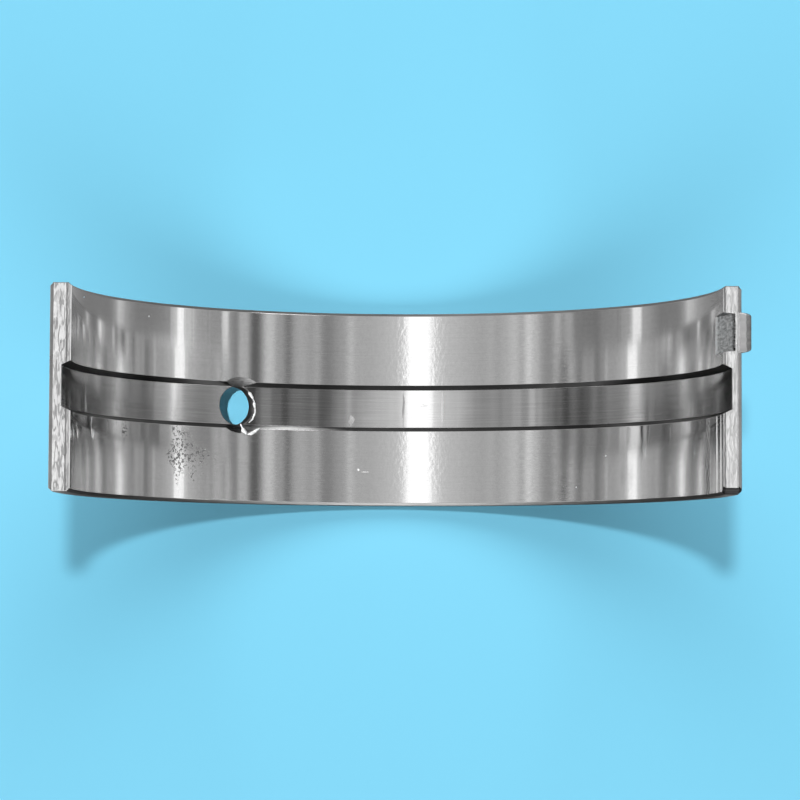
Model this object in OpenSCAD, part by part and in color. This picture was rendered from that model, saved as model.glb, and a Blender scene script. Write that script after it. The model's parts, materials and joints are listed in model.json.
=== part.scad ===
// Lower half shell of a split plain bearing for a rotating shaft in an engine.
// The journal's axis is the Y axis and crosses the origin midway between the side faces.
// The split plane is z = 0, the open side looks up and the crown of the back lies lowest.
// The locating tang stands at the +X end, nearer to the +Y side face.

/* [Shell] */
// Diameter of the back, which seats in the housing
housing_d = 64; // [56:0.5:80]
// Wall thickness, steel back and bonded lining together
wall = 2; // [1.8:0.05:2.6]
// Width between the two side faces
shell_w = 19.3; // [17:0.1:28]
// Chamfer on the side edges of the bore
bore_chamfer = 0.35; // [0.1:0.05:0.5]
// Chamfer on the side edges of the back
back_chamfer = 0.3; // [0.1:0.05:0.5]
// Bevel along the outer edge of each split face
split_bevel = 0.35; // [0.1:0.05:0.5]

/* [Oil groove] */
// Width of the groove's flat floor
groove_floor_w = 3.8; // [2.4:0.1:4.4]
// Depth of the groove below the bore
groove_depth = 0.85; // [0.5:0.05:1.1]
// Lean of the groove's side walls away from the radial direction, in degrees
groove_side_lean = 25; // [10:1:35]
// Shift of the groove from mid width toward the tang
groove_shift = 0.1; // [0:0.05:0.5]

/* [Oil hole] */
// Diameter of the oil hole through the wall
oil_hole_d = 3.8; // [2:0.1:4.4]
// Place of the oil hole round the shell, counted from the crown away from the tang, in degrees
oil_hole_angle = 30; // [0:1:60]
// Diameter of the right-angled countersink where it meets the bore
countersink_d = 5.8; // [5:0.1:6.6]

/* [Locating tang] */
// Width of the tang along the bore
tang_w = 3.7; // [2.5:0.1:5]
// Distance from mid width to the middle of the tang
tang_offset = 5.35; // [4.8:0.05:6]
// Height of the bent tab below the split face
tang_h = 4; // [3:0.1:6]
// Thickness of the bent tab
tang_t = 1.5; // [1.2:0.05:1.8]
// Reach of the tang beyond the back
tang_reach = 0.95; // [0.7:0.05:1.3]
// Radius of the tang's drawn-over outer edge
tang_round = 0.4; // [0.2:0.05:0.6]
// Width of the bevel between the tang's pocket and its end face
tang_bevel = 0.4; // [0.1:0.05:0.5]

/* [Hidden] */
$fn = 180;

back_r = housing_d / 2;
bore_r = back_r - wall;
side_y = shell_w / 2;
// Extra length that lets a cutter pass clear of the surface it cuts
clear = 1;

groove_floor_r = bore_r + groove_depth;
groove_floor_half = groove_floor_w / 2;
groove_mouth_half = groove_floor_half + groove_depth * tan(groove_side_lean);

// Inner and outer face of the tab at the split plane, and the slope that both faces share
tab_outer_x = back_r + tang_reach;
tab_inner_x = tab_outer_x - tang_t;
tab_foot_x = sqrt(pow(bore_r, 2) - pow(tang_h, 2));
tab_slope = (tab_inner_x - tab_foot_x) / tang_h;
tab_arc_step = 15;

// Section of the wall as [radius, place along the axis], for the half on one side of the groove
function wall_half(side, groove_mid) = [
    [groove_floor_r, groove_mid + side * groove_floor_half],
    [bore_r, groove_mid + side * groove_mouth_half],
    [bore_r, side * (side_y - bore_chamfer)],
    [bore_r + bore_chamfer, side * side_y],
    [back_r - back_chamfer, side * side_y],
    [back_r, side * (side_y - back_chamfer)]
];

function reversed(list) = [for (i = [len(list) - 1 : -1 : 0]) list[i]];

// Half ring with the wall section, its crown down and its axis along Y
module half_ring() {
    rotate([-90, 0, 0])
        rotate_extrude(angle = 180)
            polygon(concat(wall_half(1, groove_shift), reversed(wall_half(-1, groove_shift))));
}

// Wedge that takes the outer edge off one split face
module split_bevel_cut() {
    bevel_x = back_r - split_bevel;
    rotate([90, 0, 0])
        linear_extrude(shell_w + 2 * clear, center = true)
            polygon([
                [bevel_x - clear, clear],
                [back_r + clear, clear],
                [back_r + clear, -split_bevel - clear]
            ]);
}

// Radial drill for the oil hole, and the cone that breaks its edge on the bore side
module oil_hole_cut() {
    cone_top_z = -bore_r + clear;
    cone_top_d = countersink_d + 2 * clear;
    cone_tip_d = oil_hole_d / 2;
    cone_h = (cone_top_d - cone_tip_d) / 2;
    translate([0, groove_shift, 0])
        rotate([0, oil_hole_angle, 0]) {
            translate([0, 0, -back_r - clear])
                cylinder(d = oil_hole_d, h = wall + 2 * clear);
            translate([0, 0, cone_top_z - cone_h])
                cylinder(d1 = cone_tip_d, d2 = cone_top_d, h = cone_h);
        }
}

// Outline across the shell, carried along the bore over the tang's width
module over_tang_width() {
    translate([0, tang_offset, 0])
        rotate([90, 0, 0])
            linear_extrude(tang_w, center = true)
                children();
}

// Outer part of the tab, from mid wall to its rounded outer edge
module tang_tab() {
    root_x = bore_r + wall / 2;
    arc_x = tab_outer_x - tang_round;
    over_tang_width()
        polygon(concat(
            [[root_x, 0]],
            [for (a = [90 : -tab_arc_step : 0]) [arc_x + tang_round * cos(a), tang_round * (sin(a) - 1)]],
            [[tab_outer_x - tab_slope * tang_h, -tang_h]],
            [[root_x - tab_slope * tang_h, -tang_h]]
        ));
}

// Space that the tab left in the bore as it was bent out
module tang_pocket_cut() {
    bevel_z = -tang_bevel;
    over_tang_width()
        polygon([
            [tab_foot_x - tab_slope * clear, -tang_h - clear],
            [tab_inner_x + tab_slope * bevel_z, bevel_z],
            [tab_inner_x + tang_bevel, 0],
            [tab_inner_x + tang_bevel + clear, clear],
            [bore_r - 2 * clear, clear],
            [bore_r - 2 * clear, -tang_h - clear]
        ]);
}

module bearing_shell() {
    color([0.72, 0.72, 0.73])
        difference() {
            union() {
                difference() {
                    half_ring();
                    split_bevel_cut();
                    mirror([1, 0, 0])
                        split_bevel_cut();
                }
                tang_tab();
            }
            tang_pocket_cut();
            oil_hole_cut();
        }
}

bearing_shell();
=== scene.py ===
# %% [markdown]
# # An engine bearing shell
# Half of a split plain bearing: a steel strip with a bonded lining, rolled to a half ring, bored to a bright finish,
# grooved and drilled for oil, and lanced at one end so that a small tang keeps it from turning in its housing.
# The exact solid comes from the CAD source. This lesson gives it the rounded edges, the finish and the wear of the
# real shell, and lights it as a polished hollow needs to be lit.

import json
import math

import bmesh
import bpy
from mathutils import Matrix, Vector, noise


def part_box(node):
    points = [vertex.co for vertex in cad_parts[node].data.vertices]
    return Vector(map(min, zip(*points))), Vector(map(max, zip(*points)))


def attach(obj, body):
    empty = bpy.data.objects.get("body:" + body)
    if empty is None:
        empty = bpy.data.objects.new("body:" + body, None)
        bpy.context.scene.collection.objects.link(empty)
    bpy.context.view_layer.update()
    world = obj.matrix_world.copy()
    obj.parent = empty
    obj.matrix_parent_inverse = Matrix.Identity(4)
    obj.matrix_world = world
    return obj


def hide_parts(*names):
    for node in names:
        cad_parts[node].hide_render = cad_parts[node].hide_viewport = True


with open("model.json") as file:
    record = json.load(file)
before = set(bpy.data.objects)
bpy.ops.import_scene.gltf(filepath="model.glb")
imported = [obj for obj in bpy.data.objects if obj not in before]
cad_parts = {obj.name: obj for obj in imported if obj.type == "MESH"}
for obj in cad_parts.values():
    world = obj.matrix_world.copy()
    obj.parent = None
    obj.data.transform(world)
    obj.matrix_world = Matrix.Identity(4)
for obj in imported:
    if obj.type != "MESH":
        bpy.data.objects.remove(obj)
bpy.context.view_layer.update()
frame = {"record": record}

# %% [markdown]
# ## Sizes
# Every size that the CAD model already holds is read from it: the box gives the back, the width and the tang's reach,
# and the mounts give the bore and the oil hole. Only what neither of them says, such as the groove's section, is
# written here. All lengths are in millimetres and are turned into metres when a mesh is made.

# %% Read the sizes
MM = 0.001
low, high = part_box("bearing_shell")
mounts = {mount["name"]: mount for mount in frame["record"]["mounts"]}

bore_r = mounts["journal_bore"]["dims"]["r_mm"]
back_r = -low.z / MM
side_y = high.y / MM
bore_chamfer = 0.26
back_chamfer = 0.3
split_bevel = 0.35

hole_mount = mounts["oil_hole"]
oil_hole_r = hole_mount["dims"]["r_mm"]
oil_hole_way = Vector(hole_mount["axis"])
groove_mid = hole_mount["pos_m"][1] / MM
groove_depth = 0.85
groove_floor_r = bore_r + groove_depth
groove_floor_half = 1.9
groove_mouth_half = 2.3
countersink_r = 2.8

tang_mid = mounts["locating_tang"]["pos_m"][1] / MM
tang_half = 1.85
tang_low, tang_high = tang_mid - tang_half, tang_mid + tang_half
tang_h = 4.0
tab_outer_x = high.x / MM
tab_t = 1.65
tab_inner_x = tab_outer_x - tab_t
WORN = 0.2
tab_foot_x = math.sqrt((bore_r + WORN) ** 2 - tang_h ** 2)
tab_slope = (tab_inner_x - tab_foot_x) / tang_h
print("bore", bore_r, "back", round(back_r, 3), "half width", round(side_y, 3), "tang to", round(tab_outer_x, 2))

# %% [markdown]
# ## Section of the wall
# Cut across, the wall is a thin bar with a trapezoid groove on the inside and small chamfers outside. On the real
# shell no edge is knife sharp: boring and handling leave each with a round of a few hundredths of a millimetre, and
# these rounds catch the light as fine lines. A bevel modifier could make them, but it breaks up at the hole and the
# tang, so each corner of the section is rounded here before the ring is made from it.

# %% Round the corners of a section
ARC_STEPS = 4
SUPPORT = 0.03


def rounded_section(corners, stops):
    """Returns points (radius, along, face) round a closed section; each corner is (radius, along, round, next face)."""
    points = []
    spots = [Vector(corner[:2]) for corner in corners]
    for i, (_, _, fillet, face) in enumerate(corners):
        back = (spots[i - 1] - spots[i]).normalized()
        ahead = (spots[(i + 1) % len(spots)] - spots[i]).normalized()
        half = back.angle(ahead) / 2
        reach = fillet / math.tan(half)
        centre = spots[i] + (back + ahead).normalized() * fillet / math.sin(half)
        start = (spots[i] + back * reach - centre).normalized()
        end = (spots[i] + ahead * reach - centre).normalized()
        arc = [centre + start.slerp(end, k / ARC_STEPS) * fillet for k in range(ARC_STEPS + 1)]
        before = corners[i - 1][3]
        points.append((spots[i] + back * (reach + SUPPORT), before))
        points += [(p, before if k < ARC_STEPS / 2 else face) for k, p in enumerate(arc)]
        points.append((spots[i] + ahead * (reach + SUPPORT), face))
        between = sorted(stops.get(face, []), reverse=ahead.y < 0)
        points += [(Vector((spots[i].x, along)), face) for along in between]
    return [(p.x, p.y, face) for p, face in points]


# %% The shell's own section
SIDE_STOPS = (-0.06, -0.02, 0.02, 0.06, 0.12, 0.2, 0.3, 0.42)
MID_STOPS = (0.65, 0.95, 1.25, 1.55)
tang_stops = [tang_low + s for s in SIDE_STOPS + MID_STOPS] + [tang_high - s for s in SIDE_STOPS] + [tang_mid]
near_groove = [groove_mid + side * (groove_mouth_half + s) for side in (-1, 1) for s in (.2, .45, .8, 1.4)]
section = rounded_section(
    [
        (bore_r + bore_chamfer, -side_y, 0.05, "edge"),
        (bore_r, bore_chamfer - side_y, 0.08, "land"),
        (bore_r, groove_mid - groove_mouth_half, 0.05, "groove wall"),
        (groove_floor_r, groove_mid - groove_floor_half, 0.1, "groove floor"),
        (groove_floor_r, groove_mid + groove_floor_half, 0.1, "groove wall"),
        (bore_r, groove_mid + groove_mouth_half, 0.05, "tang land"),
        (bore_r, side_y - bore_chamfer, 0.08, "edge"),
        (bore_r + bore_chamfer, side_y, 0.05, "side"),
        (back_r - back_chamfer, side_y, 0.06, "edge"),
        (back_r, side_y - back_chamfer, 0.1, "back"),
        (back_r, back_chamfer - side_y, 0.1, "edge"),
        (back_r - back_chamfer, -side_y, 0.06, "side"),
    ],
    {"land": near_groove[:4], "tang land": near_groove[4:7] + tang_stops, "back": tang_stops},
)
print("section points:", len(section))

# %% [markdown]
# ## Tang and pocket
# The press shears a strip of the wall at one end and bends it outward. Inside it leaves a sloping pocket, outside a
# lug. Both follow from the angle round the ring: a straight slope is a radius that changes with that angle. So the
# tang needs no boolean, the grid of the ring simply bulges there, and its faces stay clean quads.

# %% Radius of the pocket, the lug and the broken edges
EDGE_BREAK = 0.06
END_ZONE = math.radians(12)
POCKET_BEVEL, POCKET_BEVEL_SLOPE = 0.09, 1.4
mid_r = (bore_r + back_r) / 2


def line_radius(x_at_split, slope, angle):
    """Radius at which a ray at this angle below the split plane meets the line x = x_at_split + slope * z."""
    return x_at_split / (math.cos(angle) + slope * math.sin(angle))


def ease(t):
    t = min(max(t, 0.0), 1.0)
    return t * t * (3 - 2 * t)


def tang_share(along, run):
    """How far a point lies inside the tang's width: 0 outside, 1 once it is further in than the run."""
    return min(max(min(along - tang_low, tang_high - along) / run, 0.0), 1.0)


def pocket_radius(angle):
    """Inner face of the bent tab, with a small bevel where it meets the split plane."""
    bevel = line_radius(tab_inner_x + POCKET_BEVEL, POCKET_BEVEL_SLOPE, angle)
    return max(line_radius(tab_inner_x, tab_slope, angle), bevel)


LUG_OUTLINE = ((0, -1.12), (.05, -1.08), (.08, -.85), (.12, -.5), (.17, -.28), (.25, -.08), (.35, .04), (.45, .12),
               (.6, .18), (.8, .17), (1.1, .12), (1.6, .04), (2.2, 0))


def lug_radius(angle):
    """Outer face of the tab: a crease behind the bright strip, a top drawn down a little, then a rounded outer edge."""
    slope_line = line_radius(tab_outer_x, tab_slope, angle)
    depth = slope_line * math.sin(angle)
    for (upper, inset), (lower, next_inset) in zip(LUG_OUTLINE, LUG_OUTLINE[1:]):
        if depth < lower:
            return slope_line + inset + (next_inset - inset) * (depth - upper) / (lower - upper)
    return slope_line


print("pocket at the split plane:", round(pocket_radius(0.0), 2), "lug:", round(lug_radius(0.0), 2))


# %% [markdown]
# ## Ring of sections
# A screw modifier would sweep the section evenly, but the ends need rings close together, for the broken edges and
# the tang, and the middle far fewer. So the rings are placed in code: by depth below the split plane near each end,
# and evenly between.

# %% Place the rings
END_DEPTHS = (0, .02, .04, .06, .08, .1, .12, .145, .17, .21, .25, .3, .35, .45, .55, .75, 1, 1.3, 1.65, 2, 2.35, 2.7,
              3.05, 3.4, 3.7, 3.85, 3.95, 4.05, 4.2, 4.5)
RING_STEP = 0.4
near = [math.asin(depth / bore_r) for depth in END_DEPTHS]
middle_count = round((math.pi - 2 * near[-1]) * bore_r / RING_STEP)
middle_step = (math.pi - 2 * near[-1]) / middle_count
angles = near + [near[-1] + middle_step * k for k in range(1, middle_count)] + [math.pi - a for a in reversed(near)]
print("ring angles:", len(angles))

# %% [markdown]
# One function bends the flat section into the ring. It also makes what happened to the shell later: the bore worn wider
# towards the tang, the broken edges, the corner that was struck short, the hammered pocket and the drawn lug. A
# sculpted mesh could show the same, but then nothing could be changed by a number.

# %% Bend the section
HAMMER, HAMMER_FADE = 0.018, 0.4
STRUCK, STRUCK_FROM, STRUCK_SLOPE = 0.55, 8.0, 0.9
POCKET_RUN, LUG_RUN = 0.12, 0.35


def shell_point(radius, along, face, angle):
    """Turns a point of the section into a point of the shell and says whether the tang moved it."""
    moved = 0.0
    end = min(angle, math.pi - angle)
    depth = radius * math.sin(end)
    inner = radius < mid_r
    if inner:
        radius += WORN * max(0.0, math.cos(angle)) ** 2
    if end < END_ZONE:
        if inner:
            radius = max(radius, line_radius(radius + EDGE_BREAK, 1, end))
        else:
            radius = min(radius, line_radius(back_r - split_bevel, -1, end))
        along = math.copysign(min(abs(along), side_y - max(0.0, EDGE_BREAK - depth)), along)
    if angle < END_ZONE and along < -STRUCK_FROM:
        short = max(0.0, STRUCK - STRUCK_SLOPE * depth) / (side_y - STRUCK_FROM)
        along += short * (-STRUCK_FROM - along)
    if angle < END_ZONE and tang_low < along < tang_high:
        dents = HAMMER * noise.noise(Vector((4.2 * along, 60 * angle, 7.0)))
        if face == "tang land":
            share = ease(tang_share(along, POCKET_RUN))
            moved = share * max(0.0, pocket_radius(angle) + dents * min(1, depth / HAMMER_FADE) - radius)
        elif face == "back":
            share = math.sqrt(1 - (1 - tang_share(along, LUG_RUN)) ** 2)
            moved = share * max(0.0, lug_radius(angle) - radius)
        radius += moved
    return Vector((radius * math.cos(angle), along, -radius * math.sin(angle))), moved


# %% Build the ring
FINISHES = ("land", "groove floor", "groove wall", "split", "back", "edge", "tang", "hole", "countersink", "burr")
FINISH_OF = {"tang land": "land", "side": "edge"}
TANG_MOVE = 0.02
ring_mesh = bpy.data.meshes.new("bearing_shell_fine")
grid = [[shell_point(*point, angle) for point in section] for angle in angles]
width = len(section)
corners = [place * MM for ring in grid for place, _ in ring]
faces, finishes = [], []
for i in range(len(angles) - 1):
    for j in range(width):
        k = (j + 1) % width
        faces.append((i * width + j, i * width + k, (i + 1) * width + k, (i + 1) * width + j))
        face = section[j][2]
        moved = min(grid[i][j][1] + grid[i + 1][j][1], grid[i][k][1] + grid[i + 1][k][1])
        finish = "tang" if moved > TANG_MOVE else FINISH_OF.get(face, face)
        finishes.append(FINISHES.index(finish))
last = (len(angles) - 1) * width
for cap in (list(range(last, last + width)), list(range(width))[::-1]):
    faces.append(cap)
    finishes.append(FINISHES.index("split"))
ring_mesh.from_pydata(corners, [], faces)
ring_mesh.polygons.foreach_set("material_index", finishes)
shell = bpy.data.objects.new("bearing_shell_fine", ring_mesh)
bpy.context.scene.collection.objects.link(shell)
print("rings:", len(angles), "faces:", len(faces))

# %% [markdown]
# ## Oil hole
# Oil comes up from the housing through a drilled hole in the groove's floor. The drill's countersink is wider than the
# groove, so it bites a scallop out of each land. Hole and cone are one turned cutter, taken away with an exact
# boolean. The cone's rim wavers a little, because the real one is torn and not clean.

# %% Turn the cutter
CUTTER_SIDES = 96
CLEAR, BACK_RIM = 1.0, 0.1
CONE_FROM, RAGGED = 4, 0.05
cone_meet_r = bore_r + countersink_r - oil_hole_r
cutter_profile = [
    (back_r + CLEAR, oil_hole_r + BACK_RIM),
    (back_r + 0.02, oil_hole_r + BACK_RIM),
    (back_r - BACK_RIM, oil_hole_r),
    (cone_meet_r + 0.05, oil_hole_r),
    (cone_meet_r - 0.02, oil_hole_r + 0.025),
    (bore_r - CLEAR, countersink_r + CLEAR),
]
along_axis = Vector((0, 1, 0))
across = along_axis.cross(oil_hole_way).normalized()
cutter_corners, cutter_faces, cutter_finishes = [], [], []
for ring, (reach, radius) in enumerate(cutter_profile):
    for k in range(CUTTER_SIDES):
        turn = 2 * math.pi * k / CUTTER_SIDES
        ragged = RAGGED * noise.noise(Vector((3 * math.cos(turn), 3 * math.sin(turn), 2.0)))
        if ring < CONE_FROM:
            ragged = 0.0
        spot = oil_hole_way * reach + (along_axis * math.cos(turn) + across * math.sin(turn)) * (radius + ragged)
        cutter_corners.append((spot + along_axis * groove_mid) * MM)
        if ring:
            a, b = (ring - 1) * CUTTER_SIDES, ring * CUTTER_SIDES
            n = (k + 1) % CUTTER_SIDES
            cutter_faces.append((a + k, a + n, b + n, b + k))
            cutter_finishes.append(FINISHES.index("countersink" if ring >= CONE_FROM else "hole"))
cutter_faces.append(list(range(CUTTER_SIDES))[::-1])
cutter_faces.append([len(cutter_corners) - CUTTER_SIDES + k for k in range(CUTTER_SIDES)])
cutter_finishes += [FINISHES.index("hole")] * 2
print("cutter faces:", len(cutter_faces))

# %% [markdown]
# ## Burrs
# Where the worn tool left the groove it pushed up a bright torn rim: flakes on one side of the hole, and a folded
# tongue at the edge of one scallop. Each is a small ridge with a four-cornered section, laid along a few places on the
# face that it stands on. Its height and width waver, and it ends in a blunt tip. A row of the table gives the seat's
# radius, half the width, the height, and the places as millimetres round the bore and along it.

# %% Lay the burrs
BURRS = (
    (groove_floor_r, .17, .2, ((-14.45, 1.5), (-14.2, 1.2), (-13.95, .82))),
    (groove_floor_r, .06, .1, ((-13.98, .85), (-13.86, .62), (-13.84, .4))),
    (groove_floor_r, .15, .2, ((-13.86, .52), (-13.82, .22), (-13.76, -.1))),
    (groove_floor_r, .09, .16, ((-13.74, .0), (-13.74, -.57), (-14.0, -1.18), (-14.4, -1.58))),
    (bore_r + .1, .2, .22, ((-15.7, -1.75), (-15.4, -2.35), (-15.1, -2.74), (-14.8, -2.82))),
    (bore_r, .13, .12, ((-14.95, -2.8), (-14.57, -2.72), (-14.05, -2.4), (-13.6, -2.12))),
)
LEG_STEPS, SUNK = 7, 0.12
burr_corners, burr_faces = [], []


def bore_place(radius, arc, along):
    """Point at a radius, a distance round the bore from the crown and a distance along the axis."""
    return Vector((radius * math.sin(arc / bore_r), along, -radius * math.cos(arc / bore_r)))


for seat_r, half, rise, places in BURRS:
    legs = [Vector(a).lerp(Vector(b), k / LEG_STEPS) for a, b in zip(places, places[1:]) for k in range(LEG_STEPS)]
    legs.append(Vector(places[-1]))
    for k, (arc, along) in enumerate(legs):
        spot = bore_place(seat_r, arc, along)
        up = bore_place(-1, arc, 0)
        way = legs[min(k + 1, len(legs) - 1)] - legs[max(k - 1, 0)]
        side = up.cross(bore_place(seat_r, arc + way.x, along + way.y) - spot).normalized()
        taper = min(1.0, 0.3 + 2.5 * min(k, len(legs) - 1 - k) / len(legs))
        tall = rise * taper * (0.8 + 0.6 * noise.noise(spot * 5.1))
        wide = half * taper * (1 + 0.5 * noise.noise(spot * 3.7 + up))
        first = len(burr_corners)
        burr_corners += [c * MM for c in (spot + side * wide, spot + up * tall, spot - side * wide, spot - up * SUNK)]
        if k:
            for j in range(4):
                n = (j + 1) % 4
                burr_faces.append((first - 4 + j, first - 4 + n, first + n, first + j))
        if k in (0, len(legs) - 1):
            burr_faces.append([first + j for j in range(4)])
print("burr faces:", len(burr_faces))

# %% [markdown]
# ## Joining
# Cutter and burrs are joined to the ring with exact booleans: the one is taken away, the others are added. Each tool
# brings its own finishes along. Points that fall together would leave empty faces and loose flaps in a printed or
# exported mesh, so every mesh is cleaned before and after.

# %% Helpers for joining
SAME_PLACE = 0.0005 * MM
MOST_FLAPS = 20


def tool(name, corners, faces, finishes):
    """Makes a closed tool for a boolean."""
    mesh = bpy.data.meshes.new(name)
    mesh.from_pydata(corners, [], faces)
    mesh.polygons.foreach_set("material_index", finishes)
    item = bpy.data.objects.new(name, mesh)
    bpy.context.scene.collection.objects.link(item)
    return item


def cleaned(mesh):
    """Joins points that fall together, drops empty faces and loose flaps, and returns how many edges are left open."""
    work = bmesh.new()
    work.from_mesh(mesh)
    bmesh.ops.remove_doubles(work, verts=work.verts, dist=SAME_PLACE)
    bmesh.ops.dissolve_degenerate(work, edges=work.edges, dist=SAME_PLACE)
    bmesh.ops.triangulate(work, faces=[face for face in work.faces if len(face.verts) > 4])
    twins = {}
    for face in work.faces:
        twins.setdefault(frozenset(face.verts), []).append(face)
    flaps = [face for pair in twins.values() if len(pair) > 1 for face in pair]
    while flaps:
        bmesh.ops.delete(work, geom=flaps, context="FACES")
        flaps = list({face for edge in work.edges if len(edge.link_faces) == 1 for face in edge.link_faces})
        if len(flaps) > MOST_FLAPS:
            break
    bmesh.ops.recalc_face_normals(work, faces=work.faces)
    open_edges = sum(len(edge.link_faces) != 2 for edge in work.edges)
    work.to_mesh(mesh)
    work.free()
    return open_edges


# %% Cut the hole and add the burrs
cutter = tool("oil_hole_cutter", cutter_corners, cutter_faces, cutter_finishes)
burrs = tool("burrs", burr_corners, burr_faces, [FINISHES.index("burr")] * len(burr_faces))
for mesh in (ring_mesh, cutter.data, burrs.data):
    for finish in FINISHES:
        mesh.materials.append(bpy.data.materials.get(finish) or bpy.data.materials.new(finish))
    cleaned(mesh)

for operation, item in (("DIFFERENCE", cutter), ("UNION", burrs)):
    change = shell.modifiers.new(item.name, "BOOLEAN")
    change.operation = operation
    change.solver = "EXACT"
    change.object = item
    change.use_self = item is burrs
shell_mesh = bpy.data.meshes.new_from_object(shell.evaluated_get(bpy.context.evaluated_depsgraph_get()))
shell.modifiers.clear()
shell.data = shell_mesh
for item in (cutter, burrs):
    bpy.data.objects.remove(item)
open_edges = cleaned(shell_mesh)
print("faces after the hole and burrs:", len(shell_mesh.polygons), "open edges:", open_edges)

# %% [markdown]
# ## Direction of the finish
# Boring leaves marks round the bore, so the bright surface smears light across them, along the axis. The shader needs
# to know that direction. A UV map whose U runs along the axis and V round the bore gives it at every point.

# %% Map and smooth the shell
MAP_MM = 100
SHARP = math.radians(32)
finish_map = shell_mesh.uv_layers.new(name="finish_direction")
for polygon in shell_mesh.polygons:
    for loop in polygon.loop_indices:
        x, y, z = shell_mesh.vertices[shell_mesh.loops[loop].vertex_index].co / MM
        round_bore = x if polygon.material_index == FINISHES.index("split") else bore_r * math.atan2(x, -z)
        finish_map.data[loop].uv = (y / MAP_MM, round_bore / MAP_MM)
shell_mesh.polygons.foreach_set("use_smooth", [True] * len(shell_mesh.polygons))
shell_mesh.set_sharp_from_angle(angle=SHARP)
print("mapped corners:", len(finish_map.data))

# %% [markdown]
# ## Node helpers
# A material is a net of nodes. Three small helpers keep its recipe readable: one adds a node and fills its sockets,
# one does sums, and one makes an empty node group with named sockets.

# %% Helpers for node nets
def add(tree, kind, sockets=None, **settings):
    """Adds a node; a socket takes a value or the output of another node."""
    made = tree.nodes.new(kind)
    for name, value in settings.items():
        setattr(made, name, value)
    for name, value in (sockets or {}).items():
        if isinstance(value, bpy.types.NodeSocket):
            tree.links.new(value, made.inputs[name])
        else:
            made.inputs[name].default_value = value
    return made


def calc(tree, operation, *values):
    """Adds one sum and returns its result."""
    return add(tree, "ShaderNodeMath", dict(enumerate(values)), operation=operation).outputs[0]


def blend(tree, share, one, other):
    """Mixes two numbers: share 0 gives the first, 1 the second."""
    return add(tree, "ShaderNodeMix", {0: share, 2: one, 3: other}).outputs[0]


def step(tree, value, start, end):
    """Rises smoothly from 0 to 1 while the value goes from start to end."""
    sockets = {"Value": value, "From Min": start, "From Max": end}
    return add(tree, "ShaderNodeMapRange", sockets, interpolation_type="SMOOTHSTEP").outputs[0]


def speckle(tree, spot, detail):
    """Returns soft noise between 0 and 1."""
    return add(tree, "ShaderNodeTexNoise", {"Vector": spot, "Scale": 1.0, "Detail": detail}).outputs[0]


def new_group(name, inputs, outputs):
    """Makes a node group; inputs without a value are vectors, the rest are numbers."""
    tree = bpy.data.node_groups.new(name, "ShaderNodeTree")
    for socket, value in inputs.items():
        kind = "NodeSocketVector" if value is None else "NodeSocketFloat"
        made = tree.interface.new_socket(socket, in_out="INPUT", socket_type=kind)
        if value is not None:
            made.default_value = value
    for socket in outputs:
        kind = "NodeSocketVector" if socket == "Spot" else "NodeSocketFloat"
        tree.interface.new_socket(socket, in_out="OUTPUT", socket_type=kind)
    return tree, tree.nodes.new("NodeGroupInput").outputs, tree.nodes.new("NodeGroupOutput").inputs


def use(tree, name, sockets=None):
    """Places a node group in a material with its own values."""
    return add(tree, "ShaderNodeGroup", sockets, node_tree=bpy.data.node_groups[name]).outputs


# %% [markdown]
# ## Places on the bore
# Marks on the bore run round it or along it. So every finish starts from the same two numbers: millimetres round the
# bore from the crown, and millimetres along the axis. An unwrapped UV map could give them too, but worked out from the
# place itself they also hold on the cut faces of the hole.

# %% Group: bore coordinates
tree, _, give = new_group("bore_coordinates", {}, ("Spot", "Arc", "Along", "Across"))
place = add(tree, "ShaderNodeSeparateXYZ", {0: add(tree, "ShaderNodeTexCoord").outputs["Object"]}).outputs
arc = calc(tree, "MULTIPLY", calc(tree, "ARCTAN2", place["X"], calc(tree, "MULTIPLY", place["Z"], -1.0)), bore_r)
along = calc(tree, "MULTIPLY", place["Y"], 1 / MM)
spot = add(tree, "ShaderNodeCombineXYZ", {"X": arc, "Y": along, "Z": 0.0}).outputs[0]
across = calc(tree, "MULTIPLY", place["X"], 1 / MM)
for socket, value in (("Spot", spot), ("Arc", arc), ("Along", along), ("Across", across)):
    tree.links.new(value, give[socket])
print("bore coordinates:", [socket.name for socket in give if socket.name])

# %% [markdown]
# ## Marks that several finishes share
# Tool marks are long fine lines, ripples are the slight unevenness of worn soft metal, and a patch is a soft-edged
# place where something happened: pits, a scuff or a scratch. Each is a node group, so that lands, groove, split faces
# and back use the same recipe with their own sizes.

# %% Group: tool marks
tree, take, give = new_group("tool_marks", {"Spot": None, "Length Arc": 10.0, "Length Along": 0.1}, ("Height",))
size = add(tree, "ShaderNodeCombineXYZ", {"X": take["Length Arc"], "Y": take["Length Along"], "Z": 1.0}).outputs[0]
scaled = add(tree, "ShaderNodeVectorMath", {0: take["Spot"], 1: size}, operation="DIVIDE").outputs[0]
tree.links.new(calc(tree, "SUBTRACT", speckle(tree, scaled, 3.0), 0.5), give["Height"])

# %% Group: patch
tree, take, give = new_group(
    "patch",
    {"Spot": None, "Centre Arc": 0.0, "Centre Along": 0.0, "Half Arc": 1.0, "Half Along": 1.0, "Ragged": 0.3},
    ("Mask",),
)
centre = add(tree, "ShaderNodeCombineXYZ", {"X": take["Centre Arc"], "Y": take["Centre Along"]}).outputs[0]
half = add(tree, "ShaderNodeCombineXYZ", {"X": take["Half Arc"], "Y": take["Half Along"], "Z": 1.0}).outputs[0]
offset = add(tree, "ShaderNodeVectorMath", {0: take["Spot"], 1: centre}, operation="SUBTRACT").outputs[0]
offset = add(tree, "ShaderNodeVectorMath", {0: offset, 1: half}, operation="DIVIDE").outputs[0]
reach = add(tree, "ShaderNodeVectorMath", {0: offset}, operation="LENGTH").outputs["Value"]
waver = calc(tree, "MULTIPLY", calc(tree, "SUBTRACT", speckle(tree, offset, 3.0), 0.5), take["Ragged"])
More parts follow.
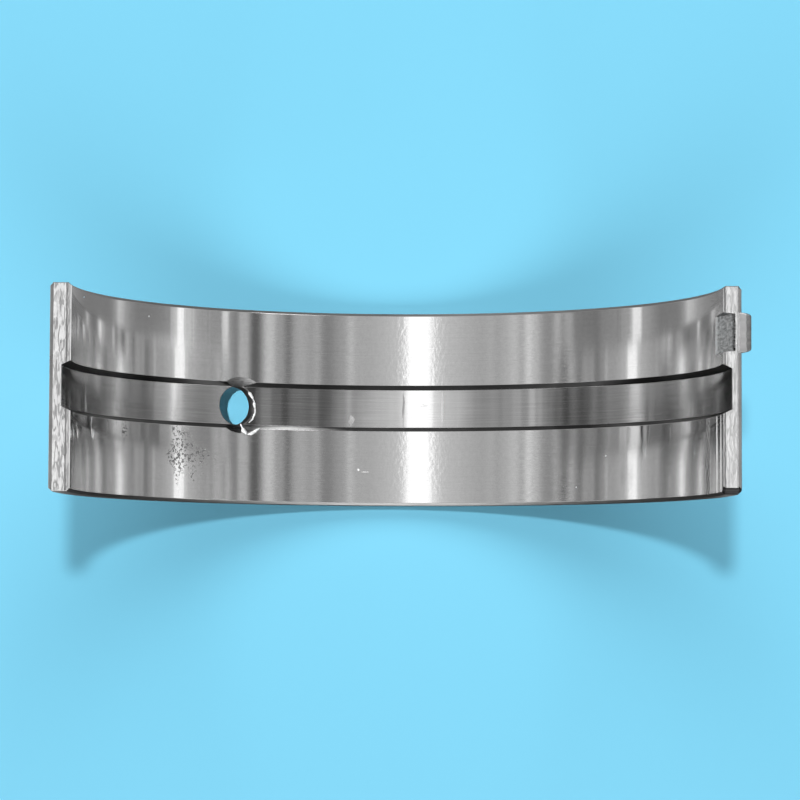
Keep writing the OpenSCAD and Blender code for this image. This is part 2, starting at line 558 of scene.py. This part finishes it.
tree.links.new(step(tree, calc(tree, "MULTIPLY_ADD", waver, 4.0, reach), 1.0, 0.6), give["Mask"])

# %% Group: pits
tree, take, give = new_group("pits", {"Spot": None, "Size": 0.3, "Share": 0.3}, ("Mask",))
fine = calc(tree, "DIVIDE", 1.0, take["Size"])
scaled = add(tree, "ShaderNodeVectorMath", {0: take["Spot"], "Scale": fine}, operation="SCALE")
moved = add(tree, "ShaderNodeVectorMath", {0: scaled.outputs[0], 1: (7.3, 2.9, 4.1)}, operation="ADD")
stroke = calc(tree, "ABSOLUTE", calc(tree, "SUBTRACT", speckle(tree, scaled.outputs[0], 1.0), 0.5))
level = calc(tree, "SUBTRACT", 0.72, calc(tree, "MULTIPLY", take["Share"], 0.4))
broken = step(tree, calc(tree, "SUBTRACT", speckle(tree, moved.outputs[0], 1.0), level), 0.0, 0.05)
tree.links.new(calc(tree, "MULTIPLY", step(tree, stroke, 0.07, 0.035), broken), give["Mask"])
print("node groups:", [g.name for g in bpy.data.node_groups])


# %% [markdown]
# ## Metals
# Every finish is bare metal, so each material is one Principled shader with its colour, roughness and relief. The
# relief is summed up in millimetres and goes through one bump node. The bored faces get an anisotropic gloss: sharp
# round the bore and smeared along the axis.

# %% Start a metal
def metal(finish, shade, rough, metallic=1.0, smear=0.0):
    """Empties the finish's material to one metal shader and returns its tree, its shader and its bore coordinates."""
    material = bpy.data.materials[finish]
    material.use_nodes = True
    net = material.node_tree
    shader = net.nodes["Principled BSDF"]
    shader.inputs["Base Color"].default_value = (shade, shade, shade, 1)
    shader.inputs["Metallic"].default_value = metallic
    shader.inputs["Roughness"].default_value = rough
    shader.inputs["Anisotropic"].default_value = smear
    if smear:
        way = add(net, "ShaderNodeTangent", direction_type="UV_MAP", uv_map="finish_direction")
        net.links.new(way.outputs[0], shader.inputs["Tangent"])
    return net, shader, use(net, "bore_coordinates")


def relief(net, shader, height):
    """Feeds a height in millimetres to the shader's normal."""
    bump = add(net, "ShaderNodeBump", {"Strength": 1.0, "Distance": MM, "Height": height})
    net.links.new(bump.outputs[0], shader.inputs["Normal"])


def total(net, *parts):
    """Adds up (amount, mask) pairs."""
    whole = calc(net, "MULTIPLY", parts[0][1], parts[0][0])
    for amount, mask in parts[1:]:
        whole = calc(net, "MULTIPLY_ADD", mask, amount, whole)
    return whole


def grey(net, shader, value):
    """Uses one number as a neutral base colour."""
    colour = add(net, "ShaderNodeCombineColor", {0: value, 1: value, 2: value})
    net.links.new(colour.outputs[0], shader.inputs["Base Color"])


def patches(net, places, *spots):
    """Adds up several patches, each (arc, along, half arc, half along, ragged)."""
    names = ("Centre Arc", "Centre Along", "Half Arc", "Half Along", "Ragged")
    masks = [use(net, "patch", {"Spot": places["Spot"], **dict(zip(names, spot))})["Mask"] for spot in spots]
    whole = masks[0]
    for mask in masks[1:]:
        whole = calc(net, "MAXIMUM", whole, mask)
    return whole


def marks(net, spot, arc, along):
    """Places tool marks that are this long round the bore and along it, and returns their height."""
    return use(net, "tool_marks", {"Spot": spot, "Length Arc": arc, "Length Along": along})["Height"]


# %% [markdown]
# ### Lands
# The two lands carry the journal. A fine boring tool leaves them bright, with lines of a few thousandths of a
# millimetre round the bore. Wear has added pits left of the hole, a torn strip and raised lines near the tang, and
# some dust. The light and dark of the torn strip and of the raised lines is partly relief and partly painted glints
# and painted shade in the colour. Each mark is a mask first, so that one place can change relief, colour and gloss
# together. A painted picture could do that as well, but it would blur when someone looks closer.

# %% Lands: the marks
LAND_SHADE, LAND_ROUGH = 0.85, 0.07
net, shader, places = metal("land", LAND_SHADE, LAND_ROUGH, smear=1.0)
spot = places["Spot"]
lines = marks(net, spot, 12.0, 0.07)
dashes = marks(net, spot, 1.6, 0.13)
ripple = marks(net, spot, 0.35, 0.6)
tears = marks(net, spot, 0.35, 0.7)
grain = marks(net, spot, 0.16, 0.16)
pitted = patches(net, places, (-23.0, -4.6, 1.8, 2.8, .5), (-21.0, -5.4, 1.7, 1.7, .8), (-31.2, -3.3, .6, 1.0, .5))
torn = patches(net, places, (40.6, -6.2, .7, 7.5, .12))
rows = patches(net, places, (44.2, 8.6, 3.4, 1.5, .2))
worked = patches(net, places, (.5, 0.0, 1.7, 14.0, .3), (5.0, 0.0, 1.6, 14.0, .3))
dust = patches(net, places, (-27.5, 8.2, .1, .1, .2), (23.1, -5.0, .09, .08, .2), (19.5, -8.0, .09, .08, .2),
               (-3.3, -6.1, .12, .14, .2), (-2.6, -6.3, .5, .04, .2), (-40.6, 8.9, .25, .1, .2))
smear = patches(net, places, (-38.5, -3.0, 1.6, .7, .3))
pits = calc(net, "MULTIPLY", use(net, "pits", {"Spot": spot, "Size": 0.36, "Share": 0.62})["Mask"], pitted)
tears_and_painted_glints = calc(net, "MULTIPLY", tears, torn)
flecks = calc(net, "MULTIPLY", ripple, worked)
notches_and_painted_shade = calc(net, "MULTIPLY", dashes, rows)
print("land marks:", len(net.nodes), "nodes")

# %% Lands: relief, colour and gloss
LIPS = ((43.7, -6.2, .36, 7.5, .05), (45.7, -6.2, .3, 7.5, .05))
lips = [patches(net, places, lip) for lip in LIPS]
leaning = [calc(net, "MULTIPLY", mask, calc(net, "SUBTRACT", lip[0], places["Arc"])) for lip, mask in zip(LIPS, lips)]
rise = calc(net, "ADD", *leaning)
lipped = calc(net, "MULTIPLY", calc(net, "ADD", *lips), tears)
steep = step(net, calc(net, "ABSOLUTE", places["Arc"]), 14.0, 26.0)
cut = calc(net, "MULTIPLY", lines, blend(net, steep, .0035, .0005))
relief(net, shader, calc(net, "ADD", cut, total(
    net, (.0001, ripple), (.008, flecks), (-.016, pits), (.5, tears_and_painted_glints), (4.5, rise), (.3, lipped), (.008, notches_and_painted_shade))))
# In the colour, the torn strip's light and dark mottling is partly torn metal and partly painted glints, and the dashes
# of the raised lines are partly painted shade and painted highlight.
shade = total(net, (-.5, pits), (-.35, smear), (1.6, tears_and_painted_glints), (1.2, notches_and_painted_shade), (.12, dust), (.1, lines), (.06, dashes),
              (.1, grain), (.1, ripple), (.12, torn))
grey(net, shader, calc(net, "ADD", shade, LAND_SHADE))
rough = calc(net, "ADD", total(net, (.2, pits), (.12, torn), (.5, dust)), LAND_ROUGH)
net.links.new(rough, shader.inputs["Roughness"])
net.links.new(calc(net, "SUBTRACT", 1.0, calc(net, "MULTIPLY", dust, 0.9)), shader.inputs["Metallic"])
print("lands:", len(net.nodes), "nodes")

# %% [markdown]
# ### Groove
# A disc cutter mills the groove, so its marks are coarser than those of the lands and its metal is duller. Bands
# across its floor are painted lighter and darker as painted reflection. Its walls lean and see little light, so their
# colour is painted nearly black as painted shade, and one stretch of wall beside the hole is painted bright as a
# painted highlight.

# %% Groove floor
GROOVE_SHADE, GROOVE_ROUGH = 0.58, 0.13
net, shader, places = metal("groove floor", GROOVE_SHADE, GROOVE_ROUGH, smear=1.0)
lines = marks(net, places["Spot"], 6.0, 0.14)
ripple = marks(net, places["Spot"], 0.35, 0.9)
nicks = patches(net, places, (-37.9, -.3, .16, 1.5, .2), (1.2, .2, .12, 1.6, .8))
scuffs = patches(net, places, (-3.9, -1.1, .3, .6, .4), (5.0, .2, .1, 1.8, .3), (3.2, .4, .5, .3, .6))
relief(net, shader, total(net, (.002, lines), (.0003, ripple), (-.006, nicks)))
# Bands across the floor are painted darker and lighter here as painted reflection.
painted_shade_bands = patches(net, places, (-10.5, 0, 6.0, 9.0, .1), (18.6, 0, 2.6, 9.0, .1))
painted_highlights = patches(net, places, (2.5, 0, 6.5, 12.0, .1), (-24.3, 0, 1.8, 9.0, .2), (43.5, 0, 5.0, 9.0, .1))
shade = total(net, (-.35, nicks), (.2, lines), (.35, scuffs), (-.24, painted_shade_bands), (.24, painted_highlights))
grey(net, shader, calc(net, "ADD", shade, GROOVE_SHADE))
rough = calc(net, "ADD", total(net, (.1, lines), (.25, scuffs)), GROOVE_ROUGH)
net.links.new(rough, shader.inputs["Roughness"])
print("groove floor:", len(net.nodes), "nodes")

# %% Groove walls
WALL_PAINTED_SHADE, WALL_PAINTED_HIGHLIGHT = 0.05, 0.75
net, shader, places = metal("groove wall", WALL_PAINTED_SHADE, 0.3)
# The walls' colour is painted nearly black as painted shade; the stretch beside the hole is painted bright as a painted
# highlight.
painted_highlights = patches(net, places, (-9.5, -2.75, 6.8, 1.15, .1))
grey(net, shader, blend(net, painted_highlights, WALL_PAINTED_SHADE, WALL_PAINTED_HIGHLIGHT))
print("groove walls:", len(net.nodes), "nodes")

# %% [markdown]
# ### Split faces
# The ends of the shell are broached flat and meet the other half. The broach tears the soft lining and drags it along,
# most of all on the plain end. A fine dark seam shows where the lining meets the steel. The marks run along the axis
# here, so they take their place from the distance across the shell and not from the arc.

# %% Split faces: the marks
LINING = 0.42
net, shader, places = metal("split", 0.95, 0.26, metallic=0.7)
spot = add(net, "ShaderNodeCombineXYZ", {"X": places["Across"], "Y": places["Along"]}).outputs[0]
streaks = marks(net, spot, 0.16, 0.9)
smears = marks(net, spot, 0.75, 1.8)
scores = marks(net, spot, 0.1, 7.0)
half_across = calc(net, "ABSOLUTE", places["Across"])
lining = calc(net, "SUBTRACT", half_across, bore_r + LINING)
seam = step(net, calc(net, "ABSOLUTE", calc(net, "MULTIPLY_ADD", streaks, 0.2, lining)), 0.09, 0.04)
inner = step(net, lining, 0.0, -0.04)
plain_end = step(net, places["Across"], 1.0, -1.0)
drawn_out = add(net, "ShaderNodeVectorMath", {0: spot, 1: (1.0, 0.17, 1.0)}, operation="MULTIPLY").outputs[0]
folds = use(net, "pits", {"Spot": drawn_out, "Size": 0.33, "Share": 0.72})["Mask"]
hollows = step(net, calc(net, "MULTIPLY_ADD", streaks, 0.8, smears), 0.05, 0.16)
torn = calc(net, "MAXIMUM", folds, calc(net, "MULTIPLY", hollows, 0.6))
torn = calc(net, "MULTIPLY", torn, blend(net, plain_end, 0.3, 0.6))
print("split face marks:", len(net.nodes), "nodes")

# %% Split faces: colour and relief
dark = calc(net, "MAXIMUM", torn, calc(net, "MULTIPLY", step(net, scores, 0.05, 0.18), 0.5))
darker_outer_strip = calc(net, "SUBTRACT", 1.0, plain_end)
darker_outer_strip = calc(net, "MULTIPLY", darker_outer_strip, step(net, half_across, back_r - 0.55, back_r - 0.45))
for amount, mask in ((.85, seam), (.35, inner), (.4, darker_outer_strip)):
    dark = calc(net, "MAXIMUM", dark, calc(net, "MULTIPLY", mask, amount))
grey(net, shader, blend(net, dark, 1.0, 0.15))
relief(net, shader, total(net, (.05, streaks), (.25, smears), (.02, scores), (-.03, seam), (-.02, folds)))
print("split faces:", len(net.nodes), "nodes")

# %% [markdown]
# ### Back and edges
# The back is ground steel that has sat in its housing: fine marks round it and soft clouds where it was pressed. The
# side faces and chamfers are turned; their colour is a little darker as painted shade, and the struck corner is
# painted nearly black as painted shade.

# %% Back and edges
BACK_SHADE, BACK_ROUGH, EDGE_PAINTED_SHADE = 0.62, 0.32, 0.45
net, shader, places = metal("back", BACK_SHADE, BACK_ROUGH)
lines = marks(net, places["Spot"], 7.0, 0.12)
cloud = marks(net, places["Spot"], 4.0, 3.0)
relief(net, shader, total(net, (.003, lines)))
grey(net, shader, calc(net, "ADD", total(net, (.3, cloud), (.15, lines)), BACK_SHADE))
net.links.new(calc(net, "ADD", total(net, (.25, cloud)), BACK_ROUGH), shader.inputs["Roughness"])

net, shader, places = metal("edge", EDGE_PAINTED_SHADE, 0.3)
lines = marks(net, places["Spot"], 2.0, 0.05)
# The edges' colour is darker as painted shade, and the struck corner is painted nearly black as painted shade.
struck = patches(net, places, (47.2, -9.4, 1.2, .8, .1))
grey(net, shader, calc(net, "ADD", total(net, (.5, lines), (-.42, struck)), EDGE_PAINTED_SHADE))
print("back and edges:", bpy.data.materials["back"].name, bpy.data.materials["edge"].name)

# %% [markdown]
# ### Tang
# The punch leaves small dents in the pocket. Along its sheared sides and top edge the pocket is painted dark as painted
# shade. Outside, the lug is drawn smooth, and the strip along its rounded outer edge is painted darker as painted
# shade. One finish does both, told apart by the distance across the shell.

# %% Tang: pressed pocket and lug
BORDER, FOOT_ARC = 1.68, 43.75
POCKET_SHADE, LUG_SHADE = 0.62, 0.62
net, shader, places = metal("tang", 0.6, 0.4, metallic=0.9)
dents = marks(net, places["Spot"], 0.5, 0.22)
grain = marks(net, places["Spot"], 0.3, 0.5)
lug = step(net, places["Across"], tab_inner_x + 0.2, tab_inner_x + 0.4)
# The darker strip along the lug's rounded outer edge is painted shade.
darker_outer_strip = step(net, calc(net, "MULTIPLY_ADD", grain, 0.3, places["Across"]), tab_outer_x - 0.58, tab_outer_x - 0.46)
middle = calc(net, "ABSOLUTE", calc(net, "SUBTRACT", places["Along"], tang_mid))
# The pocket's sheared sides and top edge are painted dark as painted shade.
top = step(net, places["Across"], tab_inner_x - 0.18, tab_inner_x - 0.08)
painted_shade_edges = calc(net, "MAXIMUM", step(net, middle, BORDER, BORDER + 0.1), top)
painted_shade_edges = calc(net, "MULTIPLY", painted_shade_edges, calc(net, "SUBTRACT", 1.0, lug))
foot = step(net, places["Arc"], FOOT_ARC, FOOT_ARC - 0.3)
pocket = calc(net, "ADD", total(net, (1.2, dents), (.7, grain), (-.45, painted_shade_edges), (.5, foot)), POCKET_SHADE)
outer = calc(net, "ADD", total(net, (.35, grain), (-.32, darker_outer_strip)), LUG_SHADE)
grey(net, shader, blend(net, lug, pocket, outer))
hammered = total(net, (.03, dents), (.02, grain))
relief(net, shader, calc(net, "MULTIPLY", hammered, blend(net, lug, 1.0, 0.3)))
print("tang:", len(net.nodes), "nodes")

# %% [markdown]
# ### Hole, countersink and burrs
# The drilled wall and the cone are dull and dark, and the cone is darker still on one side. The burrs are freshly torn,
# so they scatter light to all sides and look white: that is a metal with little mirror in it.

# %% Hole, countersink and burrs
HOLE_SHADE, HOLE_ROUGH = 0.3, 0.35
metal("hole", HOLE_SHADE, HOLE_ROUGH)
net, shader, places = metal("countersink", HOLE_SHADE, HOLE_ROUGH)
# The cone is darker on its lower side.
darker_side = patches(net, places, (-16.6, -2.4, 1.5, .7, .2))
turned = marks(net, places["Spot"], 0.8, 0.1)
grey(net, shader, calc(net, "ADD", total(net, (-.22, darker_side), (.4, turned)), HOLE_SHADE))
net, shader, places = metal("burr", 0.97, 0.4, metallic=0.2)
flakes = marks(net, places["Spot"], 0.2, 0.2)
relief(net, shader, total(net, (.03, flakes)))
print("finishes:", [slot.name for slot in shell_mesh.materials])

# %% [markdown]
# ## Studio
# A polished hollow shows its surroundings and little else. So the surroundings are built as for a photograph of
# silverware: a plain pale floor, grey cards and a striped tent that only the metal sees, and lamps that the metal
# doesn't see, for the light and shadow on the floor.

# %% Helpers for the studio
def card(name, spots, tiles, material, only_in_metal=True):
    """Makes a flat piece of the studio; most of them show only in the metal and throw no shadow."""
    mesh = bpy.data.meshes.new(name)
    mesh.from_pydata(spots, [], tiles)
    mesh.materials.append(material)
    item = bpy.data.objects.new(name, mesh)
    bpy.context.scene.collection.objects.link(item)
    if only_in_metal:
        item.visible_camera = item.visible_diffuse = item.visible_shadow = item.visible_transmission = False
    return item


def paint(name, colour):
    """Makes a plain matt paint."""
    made = bpy.data.materials.new(name)
    made.use_nodes = True
    shader = made.node_tree.nodes["Principled BSDF"]
    shader.inputs["Base Color"].default_value = (*colour, 1)
    shader.inputs["Roughness"].default_value = 0.9
    shader.inputs["Specular IOR Level"].default_value = 0.1
    return made


# %% Floor
FLOOR_HALF = 3.0
square = ((-1, -1), (1, -1), (1, 1), (-1, 1))
floor_corners = [(x * FLOOR_HALF, y * FLOOR_HALF, low.z) for x, y in square]
floor = card("floor", floor_corners, [(0, 1, 2, 3)], paint("floor_paint", (0.231, 0.68, 0.92)), only_in_metal=False)
floor.visible_glossy = False
print("floor at", round(low.z / MM, 2), "mm")


# %% [markdown]
# ### Cards low down
# Near its ends the bore looks outward past the sides of the shell, to the base beside it and to low walls. The base
# glows in strips, so that the bands of the bore run on to its edges, and it is dark under the shell, as a floor is in
# the shell's own shade. Rows of the table give the distance across in millimetres and the brightness there.

# %% Helpers for glowing cards
def glowing(name, level):
    """Makes a plain grey glow for a card, and returns its net and its emission."""
    made = bpy.data.materials.new(name)
    made.use_nodes = True
    net = made.node_tree
    net.nodes.clear()
    light = add(net, "ShaderNodeEmission", {"Strength": level})
    add(net, "ShaderNodeOutputMaterial", {"Surface": light.outputs[0]})
    return made, net, light


def striped(name, rows, levels, glow):
    """Makes a card of strips between rows of two points, each row with its own brightness."""
    spots = [spot for row in rows for spot in row]
    item = card(name, spots, [(2 * k, 2 * k + 1, 2 * k + 3, 2 * k + 2) for k in range(len(rows) - 1)], glow)
    item.data.attributes.new("level", "FLOAT", "POINT").data.foreach_set("value", [v for v in levels for _ in (0, 1)])


# %% Glowing base
BASE_LEVELS = ((-3000, .3), (-300, .34), (-130, .36), (-100, .5), (-80, .9), (-50, .9), (-43, .4), (-30, .34),
               (-20, .26), (-14, .21), (-2, .22), (0, .26), (2, .36), (4, .58), (6.5, .5), (9, .36), (13, .28),
               (20, .22), (45, .22), (90, .24), (200, .28), (400, .3), (3000, .35))
SHADED = 0.08
base_glow, net, light = glowing("base_glow", 0.3)
place = add(net, "ShaderNodeSeparateXYZ", {0: add(net, "ShaderNodeTexCoord").outputs["Object"]}).outputs
beside = step(net, calc(net, "ABSOLUTE", place["X"]), back_r * MM, back_r * MM + 0.003)
beyond = step(net, place["Y"], (side_y - 3) * MM, side_y * MM)
before = step(net, place["Y"], -0.03, -0.05)
clear_of = calc(net, "MAXIMUM", beside, calc(net, "MAXIMUM", beyond, before))
level = add(net, "ShaderNodeAttribute", attribute_name="level").outputs["Fac"]
level = calc(net, "MULTIPLY", level, blend(net, clear_of, SHADED, 1.0))
net.links.new(level, light.inputs["Strength"])
base_rows = [[(x * MM, y * FLOOR_HALF, low.z) for y in (-1, 1)] for x, _ in BASE_LEVELS]
striped("grey_base", base_rows, [level for _, level in BASE_LEVELS], base_glow)
print("base strips:", len(BASE_LEVELS) - 1)

# %% Walls
WALL_HALF, WALL_Y = 0.9, 0.52
WALL_STEPS = (low.z, 0.1, 0.88)
for name, side, levels in (("far", WALL_Y, (0.2, 0.4)), ("near", -WALL_Y, (2.2, 0.4))):
    for part, low_z, high_z, level in zip(("strip", "wall"), WALL_STEPS, WALL_STEPS[1:], levels):
        spots = [(x * WALL_HALF, side, low_z if z < 0 else high_z) for x, z in square]
        title = name + "_" + part
        card(title, spots, [(0, 1, 2, 3)], glowing(title + "_glow", level)[0])
        print(title, "glows at", level)

# %% [markdown]
# ### Striped tent
# The bright and dark bands along the bore mirror strips of light and cloth above it. The tent is one curved card. Its
# cloth has a brightness that changes slowly with the lean from the vertical, and each strip a lean, a width and a
# brightness of its own. These are kept at the points of the card, so the strips stay sharp and need no picture.

# %% Striped tent
TENT_LEVELS = ((-92, .22), (-86, .21), (-83, .19), (-80, .15), (-76, .16), (-71, .18), (-58, .28), (-44, .36),
               (-32, .33), (-18, .46), (-2, .47), (8, .35), (15, .34), (22, .25), (30, .27), (44, .28), (60, .22),
               (70, .25), (78, .29), (82, .45), (85, .5), (89, .5), (92, .35))
STRIPS = (
    (-67.6, 4.0, .31), (-63.6, .9, .42), (-62.3, 1.6, .34), (-59.3, 4.2, .23), (-54.2, 2.2, .43), (-51.2, 2.6, .57),
    (-48.3, 1.5, .34), (-45.3, 3.6, .44), (-39.0, 1.6, .30), (-36.7, 2.8, .36), (-15.9, 3.0, .57), (-9.3, 9.8, 1.0),
    (-3.3, 1.8, .55), (16.3, 1.6, .47), (25.0, 4.6, .19), (29.0, 2.4, .34), (35.0, 5.0, .33), (40.3, 2.6, .15),
    (47.7, 4.4, .45), (53.5, 3.8, .10), (58.5, 4.0, .36), (61.8, 1.6, .19), (66.3, 2.8, .58),
    (86.9, 3.2, .85),
)
TENT_R, TENT_HALF, EDGE = 0.9, 0.5, 0.1


def tent_level(lean):
    """Brightness of the tent at a lean from the vertical, in degrees: a strip's own, or else the cloth's."""
    for middle, wide, level in STRIPS:
        if abs(lean - middle) < wide / 2:
            return level
    for (start, one), (end, other) in zip(TENT_LEVELS, TENT_LEVELS[1:]):
        if start <= lean <= end:
            return one + (other - one) * (lean - start) / (end - start)


EDGE_NUDGES = [(side, nudge) for side in (-1, 1) for nudge in (-EDGE, EDGE)]
edges = [middle + side * (wide / 2 + nudge) for middle, wide, _ in STRIPS for side, nudge in EDGE_NUDGES]
leans = sorted(edges + [lean for lean, _ in TENT_LEVELS] + list(range(-88, 92, 4)))
turns = [math.radians(lean) for lean in leans]
rows = [[(TENT_R * math.sin(turn), y, TENT_R * math.cos(turn)) for y in (-TENT_HALF, TENT_HALF)] for turn in turns]
glow, net, light = glowing("tent_glow", 1.0)
level = add(net, "ShaderNodeAttribute", attribute_name="level").outputs["Fac"]
place = add(net, "ShaderNodeSeparateXYZ", {0: add(net, "ShaderNodeTexCoord").outputs["Object"]}).outputs
lean = calc(net, "ARCTAN2", place["X"], place["Z"])
folded = {"W": calc(net, "MULTIPLY", lean, 70.0), "Scale": 1.0, "Detail": 4.0}
folds = add(net, "ShaderNodeTexNoise", folded, noise_dimensions="1D")
strength = calc(net, "MULTIPLY", level, calc(net, "MULTIPLY_ADD", folds.outputs[0], 0.7, 0.9))
net.links.new(strength, light.inputs["Strength"])
striped("striped_tent", rows, [tent_level(lean) for lean in leans], glow)
print("tent strips:", len(STRIPS))


# %% [markdown]
# ### Lamps
# A small lamp high up throws the shadow on the floor, and a larger one at the side only puts a gloss on the edges. Two
# soft boxes, drawn in the world's light, fill the shade. A plain white world would fill it too, but it would also
# shine under the shell.

# %% Lamps
SHADOW_LAMP = (-0.02, 0.118, 0.6)
SIDE_LAMP = (0.34, 0.47, 0.29)


def hang(name, data, place, target):
    """Hangs a lamp at a place and turns it to a target."""
    item = bpy.data.objects.new(name, data)
    item.location = place
    item.rotation_euler = (target - item.location).to_track_quat("-Z", "Y").to_euler()
    bpy.context.scene.collection.objects.link(item)
    return item


def round_lamp(name, place, size, power):
    """Hangs a round lamp that looks at the shell."""
    data = bpy.data.lights.new(name, "AREA")
    data.shape = "DISK"
    data.size = size
    data.energy = power
    return hang(name, data, place, Vector())


round_lamp("shadow_lamp", SHADOW_LAMP, 0.04, 1.6).visible_glossy = False
round_lamp("side_lamp", SIDE_LAMP, 0.24, 0.6).visible_diffuse = False
print("lamps:", [light.name for light in bpy.data.lights])

# %% [markdown]
# Through the oil hole one sees the floor below, half of it lit. That light comes more steeply than the shadow lamp's,
# so the hole has a narrow lamp of its own, and a small black flag keeps the shadow lamp out of it.

# %% Light through the hole
HOLE_LAMP_OFFSET = Vector((-0.048, 0.0, 0.5))
FLAG_HALF, FLAG_OFF = 0.003, 0.03
hole_place = Vector(hole_mount["pos_m"])
narrow = bpy.data.lights.new("hole_lamp", "SPOT")
narrow.energy = 8.6
narrow.spot_size = math.radians(1.1)
narrow.spot_blend = 0.1
narrow.shadow_soft_size = 0.004
hang("hole_lamp", narrow, hole_place + HOLE_LAMP_OFFSET, hole_place).visible_glossy = False

flag_mid = hole_place.lerp(Vector(SHADOW_LAMP), FLAG_OFF / (Vector(SHADOW_LAMP) - hole_place).length)
flag_spots = [flag_mid + Vector((x, y, 0)) * FLAG_HALF for x, y in square]
flag = card("hole_flag", flag_spots, [(0, 1, 2, 3)], paint("black_card", (0.003, 0.003, 0.003)))
flag.visible_glossy = False
flag.visible_shadow = True
print("flag", 2 * FLAG_HALF / MM, "mm wide,", FLAG_OFF / MM, "mm from the hole")

# %% Soft boxes in the world
SOFT_BOX_LEVEL = 4.0
world = bpy.data.worlds.new("studio_air")
world.use_nodes = True
net = world.node_tree
way = add(net, "ShaderNodeSeparateXYZ", {0: add(net, "ShaderNodeTexCoord").outputs["Generated"]}).outputs
sideways = step(net, calc(net, "ABSOLUTE", way["Y"]), 0.42, 0.55)
narrowed = step(net, calc(net, "ABSOLUTE", way["X"]), 0.4, 0.3)
upright = calc(net, "MULTIPLY", narrowed, step(net, way["Z"], 0.42, 0.52))
air = calc(net, "MULTIPLY", calc(net, "MULTIPLY", sideways, upright), SOFT_BOX_LEVEL)
air_colour = add(net, "ShaderNodeCombineColor", {0: air, 1: air, 2: air}).outputs[0]
net.links.new(air_colour, net.nodes["Background"].inputs["Color"])
bpy.context.scene.world = world
print("world:", world.name)

# %% [markdown]
# Inside the hollow the light goes from wall to wall up to ten times before it leaves, and each time it paints another
# band. Blender stops after four such bounces and blurs the later ones unless it is told otherwise.

# %% Light paths
paths = bpy.context.scene.cycles
paths.max_bounces = 16
paths.glossy_bounces = 14
paths.blur_glossy = 0.0
print("bounces:", paths.max_bounces, "of which gloss:", paths.glossy_bounces)

# %% [markdown]
# ## Camera
# The photograph looks almost straight down into the shell, a little from the side away from the tang. The lens and
# the place were fitted to the outline of the shell.

# %% Camera
CAMERA_TILT = [math.radians(angle) for angle in (4.127, -0.877, 0.245)]
CAMERA_OFF = 0.33548
camera_data = bpy.data.cameras.new("camera")
camera_data.sensor_width = 36
camera_data.lens = 163.6
camera_data.shift_x = 0.0050
camera_data.shift_y = -0.0149
camera = bpy.data.objects.new("camera", camera_data)
camera.rotation_euler = CAMERA_TILT
camera.location = camera.rotation_euler.to_matrix() @ Vector((0, 0, CAMERA_OFF))
bpy.context.scene.collection.objects.link(camera)
bpy.context.scene.camera = camera
bpy.context.scene.view_settings.view_transform = "Standard"
print("camera at", [round(v / MM, 1) for v in camera.location], "mm")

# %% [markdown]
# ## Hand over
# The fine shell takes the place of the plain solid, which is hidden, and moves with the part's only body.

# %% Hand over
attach(shell, "root")
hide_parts("bearing_shell")
